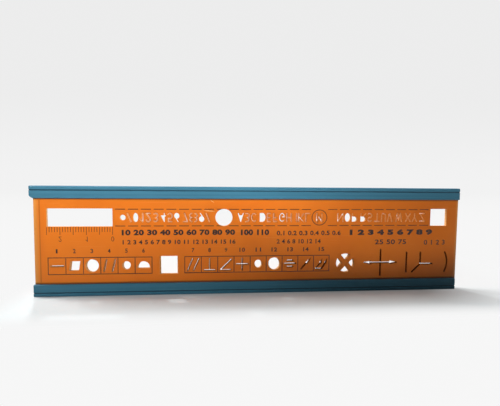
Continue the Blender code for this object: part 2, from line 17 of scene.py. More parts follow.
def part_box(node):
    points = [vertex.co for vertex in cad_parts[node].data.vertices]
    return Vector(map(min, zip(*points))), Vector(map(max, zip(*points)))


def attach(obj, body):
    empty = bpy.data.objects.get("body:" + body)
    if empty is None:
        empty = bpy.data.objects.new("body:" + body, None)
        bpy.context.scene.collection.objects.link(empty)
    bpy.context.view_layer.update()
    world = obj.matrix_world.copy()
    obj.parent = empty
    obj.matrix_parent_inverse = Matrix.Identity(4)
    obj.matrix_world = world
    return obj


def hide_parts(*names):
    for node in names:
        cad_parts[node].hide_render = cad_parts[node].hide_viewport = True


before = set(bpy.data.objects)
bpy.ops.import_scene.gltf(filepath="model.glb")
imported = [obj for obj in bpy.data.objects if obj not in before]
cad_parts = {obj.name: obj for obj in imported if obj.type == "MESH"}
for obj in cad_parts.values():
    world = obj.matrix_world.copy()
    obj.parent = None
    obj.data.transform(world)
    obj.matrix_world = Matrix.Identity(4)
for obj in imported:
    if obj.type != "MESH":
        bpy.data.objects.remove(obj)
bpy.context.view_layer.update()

# Tolerances
LEVEL_TOLERANCE = 2e-6  # points this near a level lie at it
SAME_POINT_DECIMALS = 7  # packed points that agree to these are one point
SAME_POINT_DISTANCE = 1e-8  # new points this near each other become one
SAME_CORNER_DISTANCE = 1e-7
TRIANGULATION_SCALE = 1000  # outlines are triangulated in millimetres
TRIANGULATION_TOLERANCE = 1e-6

# The plate's rims and corners
RIM_ROUNDING = 0.00005  # where a face turns into a wall
RIM_STEPS = 3
CORNER_SOFTNESS = 0.00016  # how much of each sharp corner of an outline is rounded away
CORNER_STEPS = 3
SHORT_SIDE_SHARE = 0.4  # what a corner may take of the shorter side beside it
BEND_MARGIN = 1.3  # how much wider than the move across it a corner's tightest bend stays
SHARP_ANGLE = 35  # edges that turn more than this stay sharp
LEFT_BEVEL_WIDTH = 0.0024
RIGHT_BEVEL_WIDTH = 0.0014
BEVEL_DEPTH = 0.0005
BEVEL_LINES = ((1, 6), (2, 5))  # the points of the plate's edge that the bevels' inner ends join
ENGRAVED_DEPTH = 0.0001

# The plate's cut walls. A draft is how much narrower, on each side, a cut-out is at the back,
# and an upright share is how much of it the sides that face up or down have.
HOLE_DRAFT = 0.00003
LOW_HOLE_DRAFT = 0.0004
LOW_HOLE_UPRIGHT = 0.1
LOWER_ROW_TOP = 0.0165  # cut-outs centred below this are the lower row's
SLOT_LIMIT = 0.00055  # what is narrower than this on average is a pen slot
SLOT_DRAFT = 0.0002
LOW_SLOT_UPRIGHT = 0.35
SLOT_MOUTH = 0.00008  # how much wider, on each side, a pen slot is at the front
HALO_WIDTH = 0.00022  # shade beside a pen slot, where its wall shows through the plastic
CLEARANCE_SHARE = 1 / 3  # how much of the way to its neighbour a slot's mouth and shade may reach
MOVE_SHARES = (1.0, 0.7, 0.4)  # tried in turn where a moved outline would cross itself
FINE_STEP = 0.0004

# The rails
RAIL_END_ROUNDING = 0.00008
RAIL_CORNER_SOFTNESS = 0.0002
RAIL_STATION = 0.006
FLANGE_HEIGHT = 0.003  # the broad flange, from the rail's inner edge
FLANGE_HOLLOW = 0.00005  # how far it sinks between its edges
GROOVE_BAND = (0.0011, 0.0022)  # where the long groove runs, from the rail's outer edge
GROOVE_SHADE_DEPTH = 0.00015
NICK_LENGTH = 0.0013
NICK_HEIGHT = 0.0009

# Films on the face
FILM_LIFT = 0.000006
# Old scratches: both ends, in from the plate's left end and up from the floor, and width
SCUFFS = (
    (0.0652, 0.0341, 0.0705, 0.0336, 0.00032),
    (0.0664, 0.0347, 0.0698, 0.0343, 0.00014),
    (0.0683, 0.0382, 0.0700, 0.0372, 0.00022),
    (0.0690, 0.0393, 0.0694, 0.0386, 0.00016),
)
SCUFF_STEPS = 12
# Each printed line: numbers, left end from the plate's left, right end, base, top, stroke weight
PRINTED_LINES = (
    ("10 20 30 40 50 60 70 80 90", 0.0334, 0.0784, 0.02399, 0.02636, 0.055),
    ("100 110", 0.0808, 0.0924, 0.02390, 0.02627, 0.055),
    ("1 2 3 4 5 6 7 8 9 10 11 12 13 14 15 16", 0.0337, 0.0786, 0.02037, 0.02220, 0.032),
    ("0.1 0.2 0.3 0.4 0.5 0.6", 0.0956, 0.1227, 0.02377, 0.02570, 0.032),
    ("2 4 6 8 10 12 14", 0.0956, 0.1142, 0.02033, 0.02218, 0.028),
    ("1 2 3 4 5 6 7 8 9", 0.1266, 0.1630, 0.02366, 0.02615, 0.07),
    ("25 50 75", 0.1377, 0.1515, 0.01971, 0.02178, 0.026),
    ("0 1 2 3", 0.1595, 0.1689, 0.01940, 0.02150, 0.022),
)
FIGURE_STEPS = 4
FIGURE_SPACING = 1.08
# Numbers over the engraved boxes
BOX_SIDE = 0.00665
BOX_ROWS = ((0.0052, 6), (0.0581, 9))  # each row's left end, from the plate's, and its boxes
BOX_NUMBER_BASE = 0.01705
BOX_NUMBER_HEIGHT = 0.0017
BOX_NUMBER_WEIGHT = 0.026
ONE_HALF_WIDTH = 0.18  # half of what the figure 1 spans, as a share of its height
FIGURE_HALF_WIDTH = 0.3
PAIR_HALF_WIDTH = 0.68

# Wear. A fineness is a noise's scale, or its scales along x, y and z. Marks begin where
# their noise passes the first of two values, and are full at the second.
LEVEL_FINENESS = (40, 1, 2600)
LEVEL_MARKS = (0.62, 0.72)
SLANTED_FINENESS = (90, 1, 3800)
SLANT = 52
SLANTED_MARKS = (0.70, 0.78)
SPECK_FINENESS = 1700
SPECK_MARKS = (0.72, 0.80)
GRAIN_FINENESS = 900
SCRATCH_DEPTH = 0.5  # beside the grain's height
NOISE_SPAN = (0.3, 0.7)  # most of a noise lies between these

# The plastics. A tint is a colour, and its strength where its mask is one.
GLOSS = 0.22
ORANGE = (0.78, 0.180, 0.012, 1)
CLOUD_ORANGE = (0.84, 0.210, 0.017, 1)
CLOUD_FINENESS = 35
# painted light: the bevels paler, as light coming through the thinning plastic makes them
THIN_GLOW_ORANGE = ((0.95, 0.42, 0.09, 1), 0.8)
SCRATCHED_ORANGE = ((0.90, 0.42, 0.14, 1), 0.16)
SPECK_BROWN = ((0.45, 0.08, 0.01, 1), 0.25)
# painted shadow along the rails; it also darkens a line at the left bevel's inner end
SHADOW_AND_LINE_BROWN = ((0.09, 0.036, 0.014, 1), 0.88)
# painted shade beside the pen slots
SLOT_SHADE_BROWN = ((0.34, 0.10, 0.014, 1), 0.4)
SEAM_SHADOW_WIDTH = 0.00095  # painted shadow along the rails
BEVEL_LINE_WIDTH = 0.0004  # a darker line along the left bevel's inner end
BEVEL_LINE_SHARE = 0.4  # its share of the darkening that paints the rails' shadow
ORANGE_ROUGHNESS = (0.30, 0.46)  # between the scratches, and in them
ORANGE_BUMP = (0.12, 0.00002)  # strength and distance

CUT_TAN = (0.62, 0.29, 0.100, 1)
CUT_STREAK = (0.74, 0.39, 0.160, 1)
# painted shade on the lower row's slot walls
CUT_SHADE_BROWN = (0.26, 0.075, 0.014, 1)
CUT_FINENESS = (1500, 60, 1500)
# strength of the cut walls' painted glow
CUT_GLOW = 0.30
CUT_ROUGHNESS = 0.7
SHADED_HEIGHTS = (0.016, 0.022)  # the slots' walls get painted shade, brown, below these and are tan above
SHADED_PLACES = (-0.020, 0.045)  # and more painted shade to the right of these than to the left
LEFT_SHADE = 0.25  # how much painted shade they get at the left, where the right has one
GLOWING_HEIGHTS = (0.016, 0.032)  # the walls' painted glow rises from the first height to the second

BLUE = (0.047, 0.176, 0.262, 1)
DRAWN_BLUE = (0.064, 0.214, 0.310, 1)
DRAWN_FINENESS = (6, 900, 900)
SCRATCHED_BLUE = ((0.22, 0.36, 0.42, 1), 0.10)
# painted shade in the rails' long groove
GROOVE_SHADE_BLUE = ((0.012, 0.035, 0.055, 1), 0.8)
BLUE_ROUGHNESS = (0.38, 0.50)
BLUE_BUMP = (0.25, 0.00003)

# The films: each one's colour, the colour that it fades to, and its roughness
ENGRAVING_BROWN = ((0.055, 0.012, 0.003, 1), (0.20, 0.045, 0.008, 1), 0.5)
PRINTING_BLACK = ((0.012, 0.004, 0.002, 1), (0.06, 0.016, 0.006, 1), 0.5)
SCUFF_TAN = ((0.92, 0.52, 0.20, 1), (0.80, 0.30, 0.06, 1), 0.6)
FADE_FINENESS = 1500
FADE_MARKS = (0.45, 0.75)
FADE_STRENGTH = 0.5

# The floor and the wall behind it
FLOOR_REACH = 4.0
WALL_DISTANCE = 2.0
WALL_HEIGHT = 3.0
FLOOR_WHITE = (0.86, 0.86, 0.86, 1)
FRONT_WHITE = (0.775, 0.86, 0.88, 1)  # cooler, against the orange that the plate casts
FRONT_EDGE = (-0.010, 0.005)  # where the one turns into the other
FLOOR_BOUNCE = (0.28, 0.28, 0.28, 1)
FLOOR_ROUGHNESS = 0.9
GLOW_BEHIND = (0.04, 0.16)  # where the floor goes from shadow to even glow, behind the stencil,
FRONT_GLOW = (-0.033, -0.013)  # in front of it, here from glow to shadow,
LEFT_GLOW = (-0.098, -0.078)  # at its left end, from glow to shadow too,
RIGHT_GLOW = (0.052, 0.135)  # and at its right end
NEAR_GLOW = 0.14  # share of the glow that lifts the shadow round the stencil
GLOW_STRENGTHS = (0.926, 0.888)  # at the stencil, and from the next distance on
GLOW_DISTANCE = 1.2
WALL_FADE = 0.045  # how much darker the wall is from the next height on
WALL_FADE_HEIGHT = 0.55

# How bright the world beyond them is, as light and to the eye
WORLD_LIGHT = 0.03
WORLD_WHITE = 0.88

# Camera: a little left of the middle and just above the upper rail
CAMERA_PLACE = (-0.016884, -0.152362, 0.047371)
CAMERA_TURN = (86.1475, -0.5542, -5.375)
CAMERA_LENS = 27.0
SENSOR_WIDTH = 36.0
CAMERA_NEAREST = 0.005
CAMERA_FURTHEST = 20

plate_low, plate_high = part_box("plate")
front = plate_low.y
back = plate_high.y
film_level = front - FILM_LIFT
upper_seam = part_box("upper_rail")[0].z
lower_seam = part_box("lower_rail")[1].z


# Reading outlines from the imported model

def mesh_arrays(mesh):
    """A mesh's points and its triangles, as arrays of three columns."""
    mesh.calc_loop_triangles()
    points = np.empty(3 * len(mesh.vertices))
    mesh.vertices.foreach_get("co", points)
    triangles = np.empty(3 * len(mesh.loop_triangles), int)
    mesh.loop_triangles.foreach_get("vertices", triangles)
    return points.reshape(-1, 3), triangles.reshape(-1, 3)


def merged_node(name):
    """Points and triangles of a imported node, with the copies of each point made one."""
    points, triangles = mesh_arrays(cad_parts[name].data)
    _, first, renumber = np.unique(
        np.round(points, SAME_POINT_DECIMALS), axis=0, return_index=True, return_inverse=True)
    return points[first], renumber.reshape(-1)[triangles]


def level_triangles(points, triangles, axis, level):
    """The triangles whose corners all lie at this level of the axis."""
    near = np.abs(points[:, axis] - level) < LEVEL_TOLERANCE
    return triangles[near[triangles].all(axis=1)]


def outline_loops(triangles):
    """Closed loops of the edges that only one triangle has, as lists of point numbers.

    Every edge gets one number from its two ends, and another one with its ends exchanged.
    It is single where its number is none of those that the edges get when exchanged.
    """
    sides = np.concatenate([triangles[:, [0, 1]], triangles[:, [1, 2]], triangles[:, [2, 0]]])
    size = triangles.max() + 1
    single = ~np.isin(sides @ (size, 1), sides @ (1, size))
    onward = dict(sides[single].tolist())
    loops = []
    while onward:
        loop = [min(onward)]
        end = onward.pop(loop[0])
        while end != loop[0]:
            loop.append(end)
            end = onward.pop(end)
        loops.append(loop)
    return loops


def area(loop):
    """Signed area of a closed loop, positive when it runs anticlockwise.

    It is half the sum of the cross products of each point and the next.
    """
    x, y = loop.T
    return float(np.sum(x * np.roll(y, -1) - np.roll(x, -1) * y) / 2)


def anticlockwise(loop):
    """The loop, turned round where its area is negative."""
    return loop if area(loop) > 0 else loop[::-1]


# Shaping outlines

def softened(loop, softness, room_out=0.0, room_in=0.0):
    """The anticlockwise loop with each corner replaced by a short parabola.

    The parabola leaves the corner's two sides at the same distance from it, which is the
    softness, or two fifths of the shorter side where the sides are short. A corner stays
    sharp where its parabola would bend too tightly for the loop to be moved outwards by
    room_out or inwards by room_in without crossing itself.
    """
    back_side = np.roll(loop, 1, axis=0) - loop
    on_side = np.roll(loop, -1, axis=0) - loop
    back_length = np.linalg.norm(back_side, axis=1)
    on_length = np.linalg.norm(on_side, axis=1)
    reach = np.minimum(softness, SHORT_SIDE_SHARE * np.minimum(back_length, on_length))
    cross = back_side[:, 1] * on_side[:, 0] - back_side[:, 0] * on_side[:, 1]
    turn = np.arctan2(cross, -np.sum(back_side * on_side, axis=1))
    half = (math.pi - np.abs(turn)) / 2
    tightest = reach * np.sin(half) ** 2 / np.maximum(np.cos(half), 1e-6)
    reach[tightest < BEND_MARGIN * np.where(turn < 0, room_out, room_in)] = 0
    start = loop + back_side * (reach / back_length)[:, None]
    end = loop + on_side * (reach / on_length)[:, None]
    t = np.linspace(0, 1, CORNER_STEPS + 1)[None, :, None]
    curve = (1 - t) ** 2 * start[:, None] + 2 * t * (1 - t) * loop[:, None] + t ** 2 * end[:, None]
    curve = curve.reshape(-1, 2)
    apart = np.linalg.norm(curve - np.roll(curve, 1, axis=0), axis=1) > SAME_CORNER_DISTANCE
    return curve[apart]


def moved_out(loop, distance):
    """The anticlockwise loop with every side moved outwards by the distance.

    Each point goes along the sum of its two sides' normals, divided by one plus their dot
    product, which keeps the sides parallel. Sharp corners go less far: the divisor is at
    least a half, or one where the corner turns back. A short side that would run
    backwards shrinks to its middle.
    """
    side = np.roll(loop, -1, axis=0) - loop
    side /= np.maximum(np.linalg.norm(side, axis=1, keepdims=True), 1e-12)
    normal = np.stack([side[:, 1], -side[:, 0]], axis=1)
    earlier = np.roll(normal, 1, axis=0)
    cross = earlier[:, :1] * normal[:, 1:] - earlier[:, 1:] * normal[:, :1]
    spread = 1 + np.sum(normal * earlier, axis=1, keepdims=True)
    moved = loop + (normal + earlier) / np.maximum(spread, np.where(cross < 0, 1.0, 0.5)) * distance
    following = np.roll(moved, -1, axis=0)
    turned = np.flatnonzero(np.sum((following - moved) * side, axis=1) < 0)
    middle = (moved[turned] + following[turned]) / 2
    moved[turned] = middle
    moved[(turned + 1) % len(moved)] = middle
    return moved


def sloped_out(loop, distance, upright):
    """The loop moved outwards, by only the upright share of the distance up and down."""
    return loop + (moved_out(loop, distance) - loop) * (1, upright)


def triangulated(loops, lines=()):
    """Triangles that cover everything inside the loops, with the lines as extra edges.

    They come with two lists: for each point of the triangulation the numbers of the given
    points that lie there, none where two sides cross, and for each triangle the numbers of
    the loops round it.
    """
    starts = np.cumsum([0] + [len(loop) for loop in loops]).tolist()
    corners = (np.concatenate(loops) * TRIANGULATION_SCALE).tolist()
    rings = [list(range(start, end)) for start, end in zip(starts, starts[1:])]
    _, _, triangles, originals, _, sources = delaunay_2d_cdt(
        corners, lines, rings, 1, TRIANGULATION_TOLERANCE, True)
    return triangles, originals, sources


def crosses_itself(loop):
    """Whether a triangulation of the loop has to add a point where two sides cross."""
    _, originals, _ = triangulated([loop])
    return any(not numbers for numbers in originals)


def room_to_move(loop, distance, upright=1.0):
    """As much of the distance as the loop can be moved outwards without crossing itself."""
    for share in MOVE_SHARES:
        if not crosses_itself(sloped_out(loop, share * distance, upright)):
            return share * distance
    return 0.0


def finely(loop, step):
    """The loop with its sides divided evenly into parts no longer than the step."""
    side = np.roll(loop, -1, axis=0) - loop
    parts = np.maximum(1, np.ceil(np.linalg.norm(side, axis=1) / step)).astype(int)
    number = np.repeat(np.arange(len(loop)), parts)
    share = (np.arange(len(number)) - (np.cumsum(parts) - parts)[number]) / parts[number]
    return loop[number] + side[number] * share[:, None]


def is_pen_slot(loop):
    """Whether the loop's mean width, twice its area over its length round, is a pen slot's."""
    around = np.linalg.norm(loop - np.roll(loop, 1, axis=0), axis=1).sum()
    return 2 * abs(area(loop)) / around < SLOT_LIMIT


def distance_to_others(loops):
    """The least distance from each loop to any other, between points a short step apart."""
    fine = [finely(loop, FINE_STEP / 2) for loop in loops]
    owner = np.repeat(np.arange(len(fine)), [len(loop) for loop in fine])
    every = np.concatenate(fine)
    return [np.linalg.norm(loop[:, None] - every[owner != number][None], axis=2).min()
            for number, loop in enumerate(fine)]


def quarter_round(radius):
    """Rows of set-back and depth along a quarter circle, from a face to a wall.

    The set-back is the radius times one minus the angle's sine, the depth the radius times
    one minus its cosine.
    """
    angle = np.linspace(0, math.pi / 2, RIM_STEPS + 1)
    return np.stack([radius * (1 - np.sin(angle)), radius * (1 - np.cos(angle))], axis=1)


# Making meshes

def bands(numbers, inwards=False):
    """Quads between neighbouring anticlockwise rings, whose points' numbers are given as rows.

    Carried along y or x, such rings' quads face outwards, or inwards where that is asked for.
    """
    low, high = numbers[:-1], numbers[1:]
    low_next, high_next = np.roll(low, -1, axis=1), np.roll(high, -1, axis=1)
    quads = np.stack([low, low_next, high_next, high], axis=2).reshape(-1, 4)
    return quads[:, ::-1] if inwards else quads


def surface(name, points, faces, materials, shares=None, kinds=None, flat=0):
    """A mesh object from points and faces, smooth but for its sharp edges and its last flat faces.

    The shares are named values from 0 to 1, one for each point, that its material reads.
    The kinds say which of its materials each face has.
    """
    mesh = bpy.data.meshes.new(name)
    mesh.from_pydata(np.asarray(points).tolist(), [], faces)
    for material in materials:
        mesh.materials.append(material)
    if kinds is not None:
        mesh.polygons.foreach_set("material_index", np.asarray(kinds, np.int32))
    mesh.polygons.foreach_set("use_smooth", np.arange(len(faces)) < len(faces) - flat)
    for share, values in (shares or {}).items():
        attribute = mesh.attributes.new(share, "FLOAT", "POINT")
        attribute.data.foreach_set("value", np.asarray(values, np.float32))
    shape = bmesh.new()
    shape.from_mesh(mesh)
    bmesh.ops.remove_doubles(shape, verts=shape.verts, dist=SAME_POINT_DISTANCE)
    shape.to_mesh(mesh)
    shape.free()
    mesh.set_sharp_from_angle(angle=math.radians(SHARP_ANGLE))
    mesh.update()
    obj = bpy.data.objects.new(name, mesh)
    bpy.context.scene.collection.objects.link(obj)
    return obj


# The plate

def plate_outlines():
    """The plate's edge, its cut-outs and each cut-out's distance to the nearest other outline.

    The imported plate's back is flat, so the outlines are read there. The edge, the largest of
    them, is replaced by a rectangle with points where the bevels begin.
    """
    points, triangles = merged_node("plate")
    loops = [anticlockwise(points[loop][:, [0, 2]])
             for loop in outline_loops(level_triangles(points, triangles, 1, back))]
    loops.sort(key=area)
    bends = [plate_low.x, plate_low.x + LEFT_BEVEL_WIDTH,
             plate_high.x - RIGHT_BEVEL_WIDTH, plate_high.x]
    edge = np.array([(x, plate_low.z) for x in bends] + [(x, plate_high.z) for x in bends[::-1]])
    return edge, loops[:-1], distance_to_others(loops)[:-1]


def front_depth(x):
    """How deep the printed face lies at x: flat, and falling in a straight bevel to both ends."""
    left = 1 - (x - plate_low.x) / LEFT_BEVEL_WIDTH
    right = 1 - (plate_high.x - x) / RIGHT_BEVEL_WIDTH
    return BEVEL_DEPTH * np.clip(np.maximum(left, right), 0, 1)


def wall_rings(loop, into, front_rows, back_rows, upright=1.0):
    """Rings of points that follow an outline from the printed face to the back.

    Each row gives a ring's set-back, by which the outline is moved into the plate, and its
    depth below its own face. Into is 1 for a cut-out, or -1 for the plate's edge.
    """
    rings = []
    for set_back, depth in front_rows:
        ring = moved_out(loop, into * set_back)
        level = front + front_depth(ring[:, 0]) + depth
        rings.append(np.column_stack([ring[:, 0], level, ring[:, 1]]))
    for set_back, depth in back_rows[::-1]:
        ring = sloped_out(loop, into * set_back, upright)
        level = np.full(len(ring), back - depth)
        rings.append(np.column_stack([ring[:, 0], level, ring[:, 1]]))
    return np.array(rings)


def edge_wall(edge):
    """The wall round the plate's edge, which turns into both faces by a quarter circle."""
    rim = quarter_round(RIM_ROUNDING)
    return wall_rings(edge, -1, rim, rim)


def hole_wall(loop, low_row):
    """The wall of a wide cut-out, which is narrower at the back by its draft."""
    upright = LOW_HOLE_UPRIGHT if low_row else 1.0
    draft = LOW_HOLE_DRAFT if low_row else HOLE_DRAFT
    loop = softened(loop, CORNER_SOFTNESS, RIM_ROUNDING, draft)
    draft = -room_to_move(loop, -draft, upright)
    rim = quarter_round(RIM_ROUNDING)
    return wall_rings(loop, 1, rim, rim - (draft, 0), upright)


def slot_wall(loop, low_row, room):
    """The wall of a pen slot, wider at the front by its mouth and narrower at the back by its draft.

    Where there is room for the shade beside the slot, one more ring bounds it on each face.
    """
    upright = LOW_SLOT_UPRIGHT if low_row else 1.0
    clearance = CLEARANCE_SHARE * room - RIM_ROUNDING
    mouth = min(SLOT_MOUTH, clearance)
    reach = RIM_ROUNDING + mouth + max(0.0, min(HALO_WIDTH, clearance - mouth))
    loop = softened(loop, CORNER_SOFTNESS, reach, SLOT_DRAFT)
    draft = -room_to_move(loop, -SLOT_DRAFT, upright)
    reach = room_to_move(loop, reach)
    mouth = max(0.0, min(mouth, reach - RIM_ROUNDING))
    halo = max(0.0, reach - RIM_ROUNDING - mouth)
    rim = quarter_round(RIM_ROUNDING)
    front_rows = rim + (mouth, 0)
    back_rows = rim - (draft, 0)
    if halo:
        front_rows = np.vstack([(RIM_ROUNDING + mouth + halo, 0), front_rows])
        back_rows = np.vstack([(RIM_ROUNDING + halo, 0), back_rows])
    return wall_rings(loop, 1, front_rows, back_rows, upright)


def slot_share(wall):
    """One at the points of a wall with shade beside it, but for its first and last ring."""
    share = np.zeros(wall.shape[:2])
    if len(wall) > 2 * (RIM_STEPS + 1):
        share[1:-1] = 1
    return share.reshape(-1)


def middle_band(wall):
    """For each quad of a wall, whether it lies between the rounded rims of its two faces."""
    rings, size = wall.shape[:2]
    return np.repeat(np.arange(rings - 1) == rings // 2 - 1, size)


def plate_cap(walls, numbers, ring, lines):
    """Triangles from the plate's edge to its cut-outs, between this ring of every wall.

    Only those stay that lie inside the edge and inside no cut-out.
    """
    loops = [wall[ring][:, [0, 2]] for wall in walls]
    triangles, originals, sources = triangulated(loops, lines)
    kept = [[min(originals[corner]) for corner in triangle]
            for triangle, source in zip(triangles, sources) if list(source) == [0]]
    return np.concatenate([rows[ring] for rows in numbers])[kept]


def make_plate(face_material, wall_material):
    """The plate: a wall with rounded rims along every outline, and two faces that fill the rest.

    The middle band of each wall is the wall material's, and all else the face material's.
    The share near_slot is one by a slot, where shade is painted, and thin rises from none to one over the
    bevels.
    """
    edge, cutouts, rooms = plate_outlines()
    walls = [edge_wall(edge)]
    for loop, room in zip(cutouts, rooms):
        low_row = loop[:, 1].mean() < LOWER_ROW_TOP
        walls.append(slot_wall(loop, low_row, room) if is_pen_slot(loop) else hole_wall(loop, low_row))
    counts = [wall[..., 0].size for wall in walls]
    parts = np.split(np.arange(sum(counts)), np.cumsum(counts)[:-1])
    numbers = [part.reshape(wall.shape[:2]) for part, wall in zip(parts, walls)]
    quads = np.concatenate([bands(rows, inwards=number == 0) for number, rows in enumerate(numbers)])
    front_cap = plate_cap(walls, numbers, 0, BEVEL_LINES)
    back_cap = plate_cap(walls, numbers, -1, ())[:, ::-1]
    caps = np.concatenate([front_cap, back_cap])
    kinds = np.concatenate([middle_band(wall) for wall in walls] + [np.zeros(len(caps), bool)])
    points = np.concatenate([wall.reshape(-1, 3) for wall in walls])
    shares = {
        "near_slot": np.concatenate([slot_share(wall) for wall in walls]),
        "thin": front_depth(points[:, 0]) / BEVEL_DEPTH,
    }
    return surface("orange_plate", points, quads.tolist() + caps.tolist(),
                   [face_material, wall_material], shares, kinds, flat=len(caps))


# The rails

def rail_outline(name):
    """The rail's section as a loop of y and z, read from its right end."""
    points, triangles = merged_node(name)
    end = points[:, 0].max()
    loop, = outline_loops(level_triangles(points, triangles, 0, end))
    return anticlockwise(points[loop][:, [1, 2]])


def hollowed(loop, low, high, face):
    """Sides finely divided, and the broad flanges sunk by a half sine between low and high."""
    fine = finely(loop, FINE_STEP)
    share = np.clip((fine[:, 1] - low) / (high - low), 0, 1)
    on_face = np.abs(np.abs(fine[:, 0]) - face) < 1e-6
    fine[:, 0] -= np.sign(fine[:, 0]) * on_face * FLANGE_HOLLOW * np.sin(math.pi * share)
    return fine


def make_rail(name, node, upper, material):
    """A rail: its softened section carried along x, with rounded edges at both ends.

    At the ends the section is moved inwards by a quarter circle's set-back while x goes
    in by its depth. The upper rail's inner corner is nicked off at the left: there x grows
    in proportion to how far a point lies into the nick.
    """
    low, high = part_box(node)
    inner, outer = (low.z, high.z) if upper else (high.z, low.z)
    flange = sorted((inner, inner + (FLANGE_HEIGHT if upper else -FLANGE_HEIGHT)))
    outline = rail_outline(node)
    face = np.abs(outline[:, 0]).max()
    section = hollowed(softened(outline, RAIL_CORNER_SOFTNESS), *flange, face)
    # Points sunk in the long groove, which get painted shade.
    sunk = np.abs(section[:, 0]) < face - GROOVE_SHADE_DEPTH
    from_outer = np.abs(section[:, 1] - outer)
    in_groove = sunk & (from_outer > GROOVE_BAND[0]) & (from_outer < GROOVE_BAND[1])

    rim = quarter_round(RAIL_END_ROUNDING)
    stations = [(set_back, low.x + depth) for set_back, depth in rim]
    stations += [(0, x) for x in np.arange(low.x + RAIL_STATION, high.x - RAIL_STATION / 2, RAIL_STATION)]
    stations += [(set_back, high.x - depth) for set_back, depth in rim[::-1]]
    rings = []
    for i, (set_back, x) in enumerate(stations):
        ring = moved_out(section, -set_back)
        along = np.full(len(ring), x)
        if upper and i <= RIM_STEPS:
            along += NICK_LENGTH * np.clip(1 - (ring[:, 1] - inner) / NICK_HEIGHT, 0, 1)
        rings.append(np.column_stack([along, ring]))

    numbers = np.arange(len(rings) * len(section)).reshape(len(rings), -1)
    faces = bands(numbers).tolist() + [numbers[0][::-1].tolist(), numbers[-1].tolist()]
    shares = {"groove": np.tile(in_groove.astype(float), len(rings))}
    return surface(name, np.concatenate(rings), faces, [material], shares, flat=2)


# Films on the printed face

def make_engraving(material):
    """The filling of the engraved lines: the groove floors lifted to just above the face."""
    points, triangles = merged_node("plate")
    floor = level_triangles(points, triangles, 1, front + ENGRAVED_DEPTH)
    used, renumber = np.unique(floor, return_inverse=True)
    film = points[used]
    film[:, 1] = film_level
    return surface("engraved_lines", film, renumber.reshape(-1, 3).tolist(), [material])


def make_scuffs(material):
    """Pale films on the face, as wide across as the width times the sine of the way along."""
    scuffs = np.array(SCUFFS)
    start, end = scuffs[:, None, :2], scuffs[:, None, 2:4]
    along = (end - start) / np.linalg.norm(end - start, axis=2, keepdims=True)
    across = along[..., ::-1] * (1, -1)
    t = np.linspace(0, 1, SCUFF_STEPS + 1)[1:-1, None]
    middle = start + (end - start) * t
    half = scuffs[:, 4, None, None] / 2 * np.sin(math.pi * t) * across
    loops = np.concatenate([start, middle + half, end, (middle - half)[:, ::-1]], axis=1)
    faces = np.arange(loops[..., 0].size).reshape(loops.shape[:2])
    x, z = (loops + (plate_low.x, 0)).reshape(-1, 2).T
    film = np.column_stack([x, np.full(len(x), film_level), z])
    return surface("pale_scuffs", film, faces.tolist(), [material])


def number_film(text, weight):
    """Points and triangles of a row of plain numbers, in its own x and y."""
    curve = bpy.data.curves.new("numbers", "FONT")
    curve.body = text
    curve.offset = weight
    curve.resolution_u = FIGURE_STEPS
    curve.space_character = FIGURE_SPACING
    guide = bpy.data.objects.new("numbers", curve)
    bpy.context.scene.collection.objects.link(guide)
    bpy.context.view_layer.update()
    graph = bpy.context.evaluated_depsgraph_get()
    mesh = bpy.data.meshes.new_from_object(guide.evaluated_get(graph))
    points, triangles = mesh_arrays(mesh)
    bpy.data.objects.remove(guide, do_unlink=True)
    bpy.data.meshes.remove(mesh)
    bpy.data.curves.remove(curve)
    return points, triangles


def fitted_numbers(text, left, right, base, top, weight):
    """The numbers stretched evenly to fill the span and the height that they are printed in."""
    points, triangles = number_film(text, weight)
    low, high = points.min(axis=0), points.max(axis=0)
    x = plate_low.x + left + (points[:, 0] - low[0]) / (high[0] - low[0]) * (right - left)
    z = base + (points[:, 1] - low[1]) / (high[1] - low[1]) * (top - base)
    return np.column_stack([x, np.full(len(x), film_level), z]), triangles


def box_numbers():
    """One small number centred over each of the engraved boxes, as printed lines."""
    middles = [left + (i + 0.5) * BOX_SIDE for left, boxes in BOX_ROWS for i in range(boxes)]
    lines = []
    for number, middle in enumerate(middles, start=1):
        half_width = FIGURE_HALF_WIDTH if number < 10 else PAIR_HALF_WIDTH
        half = BOX_NUMBER_HEIGHT * (ONE_HALF_WIDTH if number == 1 else half_width)
        lines.append((str(number), middle - half, middle + half, BOX_NUMBER_BASE,
                      BOX_NUMBER_BASE + BOX_NUMBER_HEIGHT, BOX_NUMBER_WEIGHT))
    return lines


def make_printing(material):
    """All printed numbers as one film, each line's points numbered on from the last one's."""
    points, triangles, count = [], [], 0
    for line in (*PRINTED_LINES, *box_numbers()):
        film, faces = fitted_numbers(*line)
        points.append(film)
        triangles.append(faces + count)
        count += len(film)
    return surface("printed_numbers", np.concatenate(points), np.concatenate(triangles).tolist(),
                   [material])


# Materials

